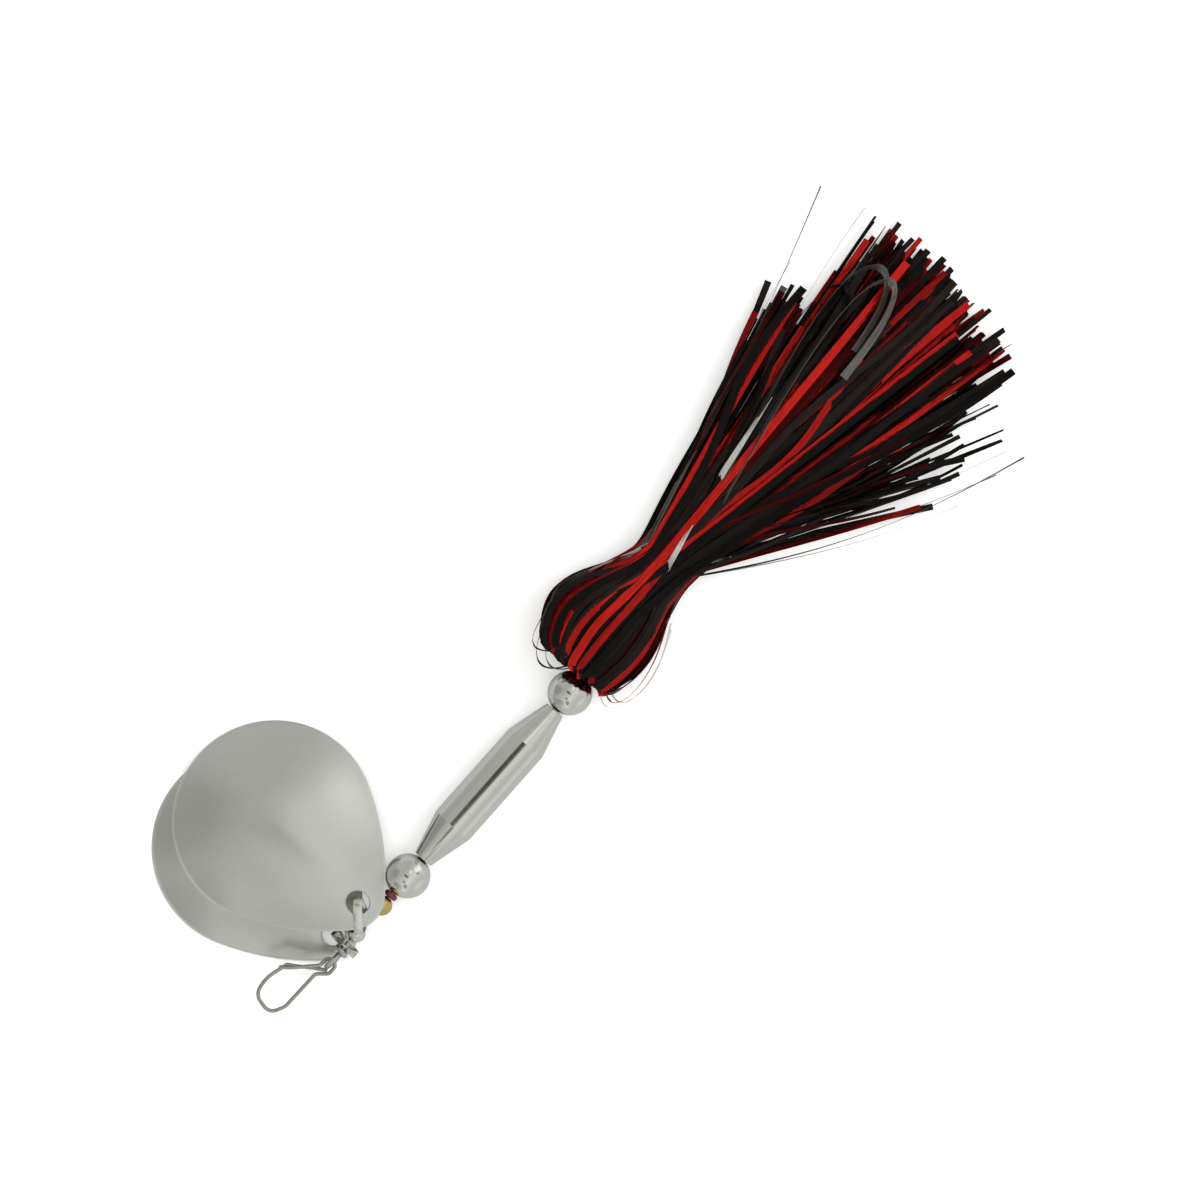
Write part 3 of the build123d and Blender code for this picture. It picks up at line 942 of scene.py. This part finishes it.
crown_total = 34             # calm strands that lie on top of the bundle
for number in range(crown_total):
    turn = radians(chance.uniform(44, 136))
    bearing = max(min(-6.0 + 9.0 * cos(turn) + chance.gauss(0, 9.0), 16), -27)
    path, facing = strand(bearing, turn, 1.02 + 0.035 * (number % 6), 0.35)
    colour = "red_top" if number % 5 in (1, 4) else "black_top"
    bundles[colour].add(path, facing, chance.uniform(1.4, 1.9))


def stray(points, width, bundle, lean=0.5):
    """A thin strand standing off the bundle, along its own few points."""
    path = spline_points([Vector(point) for point in points], 6)
    facing = [Vector((0, sin(lean + index * 0.05), cos(lean + index * 0.05))) for index in range(len(path))]
    bundles[bundle].add(path, facing, width, camber=0.02)


strays = [
    ([(112, 8, 3), (135, 14, 3), (160, 20, 1), (180, 26, 0), (201, 33, -1)], 0.5, "smoke"),
    ([(112, 7, 3), (140, 11, 3), (170, 17, 1), (190, 21, 0), (204, 22.5, -2)], 0.35, "clear"),
    ([(112, 8, 2), (138, 15, 2), (165, 23, 0), (184, 27, -1)], 0.4, "clear"),
    ([(113, 0, 3), (128, -12, 2), (146, -24, 0), (166, -34, -2), (186, -41, -3)], 0.6, "smoke"),
    ([(113, 0, 2), (130, -14, 1), (150, -28, -1), (168, -37, -3)], 0.4, "clear"),
    ([(113, 1, 3), (132, -10, 2), (155, -24, 0), (184, -37, -3)], 0.4, "clear"),
    ([(113, 1, 2), (134, -13, 1), (158, -29, -2), (179, -39, -4)], 0.5, "red_top"),
    ([(90, 2, 1), (85, 8, 2), (81, 12.5, 1), (84, 15.4, 0), (92, 16.5, 0), (101, 15, 1)], 0.4, "red_top"),
    ([(89, 2, 1), (82, 5, 2), (79, 9.5, 2), (83, 13.4, 1), (91, 15.4, 1), (100, 14, 2)], 0.5, "smoke"),
    ([(90, 1, 3), (84, 3, 5), (80, 7.4, 5.5), (84, 11.6, 5), (92, 14, 4), (102, 13, 3)], 0.45, "smoke"),
    ([(90, -2, 0), (85, -7, 1), (85, -10.5, 1), (91, -12.3, 1), (99, -10.4, 1), (106, -6.5, 2)],
     0.4, "clear"),
    ([(90, -2, 1), (83, -5, 2), (82, -9.0, 1), (88, -12.0, 0), (97, -11.2, 0), (105, -7.5, 1)],
     0.35, "clear"),
    ([(90, -1, 2), (84, -6, 3), (84, -9.6, 2), (90, -10.8, 2), (98, -9.4, 2), (105, -6.0, 2)],
     0.45, "red_top"),
    ([(89, 3, 5), (87, 11, 6), (91, 17.2, 4), (98, 17.3, 3), (106, 13.0, 3), (114, 9.2, 3)], 1.4, "clear"),
    ([(89, 3, 4), (88, 12, 5), (93, 17.8, 3), (100, 16.8, 2), (108, 12.0, 2), (116, 8.6, 2)], 1.5, "clear"),
    ([(128, 4, 5), (150, 9, 5.5), (172, 14, 5), (190, 16, 4), (198, 11, 4), (192, 5, 4), (178, 3, 4)],
     1.9, "smoke"),
    ([(128, 2, 5), (152, 7, 5.4), (176, 11, 5), (192, 11, 4.5), (197, 6, 4), (188, 2, 4), (172, 1, 4)],
     2.1, "smoke"),
    ([(130, 6, 5), (155, 13, 5), (176, 18, 4), (187, 17, 3.5), (188, 12, 3.5), (180, 9, 4), (165, 8, 4)],
     1.5, "black_top"),
]
for points, width, bundle in strays:
    stray(points, width, bundle)

# near-white clear strands arched up over the bundle where two glints show: painted highlights
glint_arches = [
    [(112, 1.8, 4.0), (116, 2.6, 6.6), (119.7, 3.4, 8.6), (123, 4.1, 6.6), (128, 5.0, 3.6)],
    [(134, 6.2, 3.4), (139, 7.1, 6.4), (146, 8.2, 8.2), (153, 9.3, 6.4), (159, 10.2, 3.2)],
]
for points in glint_arches:
    stray(points, 1.6, "clear", lean=0.0)

for name, material, slot, stands_for in (
    ("black_low", black_film, "black_flash", ["black_hank_low_right", "black_hank_low_left"]),
    ("black_top", black_film, "black_flash", ["black_hank_top_middle"]),
    ("red_low", red_film, "red_flash", ["red_hank_low_middle"]),
    ("red_top", red_film, "red_flash", ["red_hank_top_right", "red_hank_top_left"]),
    ("smoke", smoke_film, "black_flash", []),
    ("clear", clear_glint_film, "black_flash", []),
):
    piece = bundles[name].build(f"{name}_strands")
    piece.data.materials.append(material)
    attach(piece, "shaft")
    if stands_for:
        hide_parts(*stands_for)

# ---- floor and light ----
clear_selection()
bpy.ops.mesh.primitive_plane_add(size=6, location=(0, 0, floor_z * MM))
floor = bpy.context.object
floor.name = "floor"
floor_finish = Finish("floor", (0.93, 0.93, 0.93), Roughness=0.9)
floor_finish.shader.inputs["Emission Color"].default_value = (1, 1, 1, 1)
floor_finish.shader.inputs["Emission Strength"].default_value = 0.35
floor_finish.shader.inputs["Specular IOR Level"].default_value = 0.1
# glossy rays see a plain grey floor, darker than the one that the camera sees
floor_tree = floor_finish.tree
shaded = floor_tree.nodes.new("ShaderNodeBsdfDiffuse")
shaded.inputs["Color"].default_value = (0.60, 0.60, 0.58, 1)
mixed = floor_tree.nodes.new("ShaderNodeMixShader")
rays = floor_tree.nodes.new("ShaderNodeLightPath")
floor_tree.links.new(rays.outputs["Is Glossy Ray"], mixed.inputs["Fac"])
floor_tree.links.new(floor_finish.shader.outputs["BSDF"], mixed.inputs[1])
floor_tree.links.new(shaded.outputs["BSDF"], mixed.inputs[2])
floor_tree.links.new(mixed.outputs["Shader"], floor_tree.nodes["Material Output"].inputs["Surface"])
floor.data.materials.append(floor_finish.material)


def area_light(name, place, size, power):
    """A soft square lamp that looks at the middle of the object and doesn't show in its metal."""
    lamp = bpy.data.lights.new(name, "AREA")
    lamp.shape = "SQUARE"
    lamp.size = size
    lamp.energy = power
    lamp_object = bpy.data.objects.new(name, lamp)
    bpy.context.collection.objects.link(lamp_object)
    lamp_object.location = place
    target = Vector((0.09, 0.01, 0))
    lamp_object.rotation_euler = (target - Vector(place)).to_track_quat("-Z", "Y").to_euler()
    lamp_object.visible_glossy = False


area_light("overhead", (0.1, 0.0, 1.6), 1.6, 9.0)
area_light("key", (0.75, -0.35, 0.75), 0.35, 2.0)
area_light("low_right", (0.85, -0.75, 0.22), 0.30, 2.0)

world = bpy.data.worlds.new("studio")
world.use_nodes = True
bpy.context.scene.world = world
sky = world.node_tree
direction = sky.nodes.new("ShaderNodeTexCoord").outputs["Generated"]


def sky_oval(middle, half, amount):
    """A soft oval of directions with its middle and half size in x and y: amount inside, 0 outside."""
    offset = sky.nodes.new("ShaderNodeVectorMath")
    offset.operation = "SUBTRACT"
    offset.inputs[1].default_value = (*middle, 0)
    scaled = sky.nodes.new("ShaderNodeVectorMath")
    scaled.operation = "MULTIPLY"
    scaled.inputs[1].default_value = (1 / half[0], 1 / half[1], 0)
    size = sky.nodes.new("ShaderNodeVectorMath")
    size.operation = "LENGTH"
    spread = sky.nodes.new("ShaderNodeMapRange")
    spread.interpolation_type = "SMOOTHSTEP"
    spread.inputs["From Min"].default_value = 1.35
    spread.inputs["From Max"].default_value = 0.70
    spread.inputs["To Min"].default_value = 0.0
    spread.inputs["To Max"].default_value = amount
    sky.links.new(direction, offset.inputs[0])
    sky.links.new(offset.outputs["Vector"], scaled.inputs[0])
    sky.links.new(scaled.outputs["Vector"], size.inputs[0])
    sky.links.new(size.outputs["Value"], spread.inputs["Value"])
    return spread.outputs["Result"]


# the set's brightness from the side without blades to the side with them: (y of the direction, level)
side_levels = [(-1.0, 0.70), (-0.85, 0.55), (-0.72, 0.56), (-0.45, 0.70), (-0.28, 0.74), (-0.10, 0.62),
               (0.08, 0.56), (0.35, 0.48), (0.55, 0.43), (0.75, 0.46), (1.0, 0.46)]
split_sky = sky.nodes.new("ShaderNodeSeparateXYZ")
sky.links.new(direction, split_sky.inputs["Vector"])
side_ramp = sky.nodes.new("ShaderNodeValToRGB")
while len(side_ramp.color_ramp.elements) < len(side_levels):
    side_ramp.color_ramp.elements.new(0.5)
for element, (side, level) in zip(side_ramp.color_ramp.elements, side_levels):
    element.position = (side + 1) / 2
    element.color = (level, level, level, 1)
sky.links.new(math_node(sky, "MULTIPLY_ADD", split_sky.outputs["Y"], 0.5, 0.5), side_ramp.inputs["Fac"])
brightness = side_ramp.outputs["Color"]
for middle, half, amount in (
    ((-0.04, 0.09), (0.08, 0.23), -0.50),
    ((-0.53, -0.10), (0.08, 0.12), -0.42),
    ((-0.70, -0.36), (0.12, 0.14), -0.42),
    ((0.48, 0.05), (0.16, 0.13), 0.26),
    ((0.87, -0.17), (0.14, 0.20), 0.34),
    ((0.70, -0.44), (0.10, 0.08), -0.34),
    ((-0.56, 0.88), (0.46, 0.26), -0.15),
    ((-0.97, 0.10), (0.12, 0.40), -0.20),
):
    brightness = math_node(sky, "ADD", brightness, sky_oval(middle, half, amount))
tint = sky.nodes.new("ShaderNodeVectorMath")
tint.operation = "SCALE"
tint.inputs[0].default_value = (0.99, 1.0, 0.955)
sky.links.new(math_node(sky, "MAXIMUM", brightness, 0.02), tint.inputs["Scale"])
sky.links.new(tint.outputs["Vector"], sky.nodes["Background"].inputs["Color"])
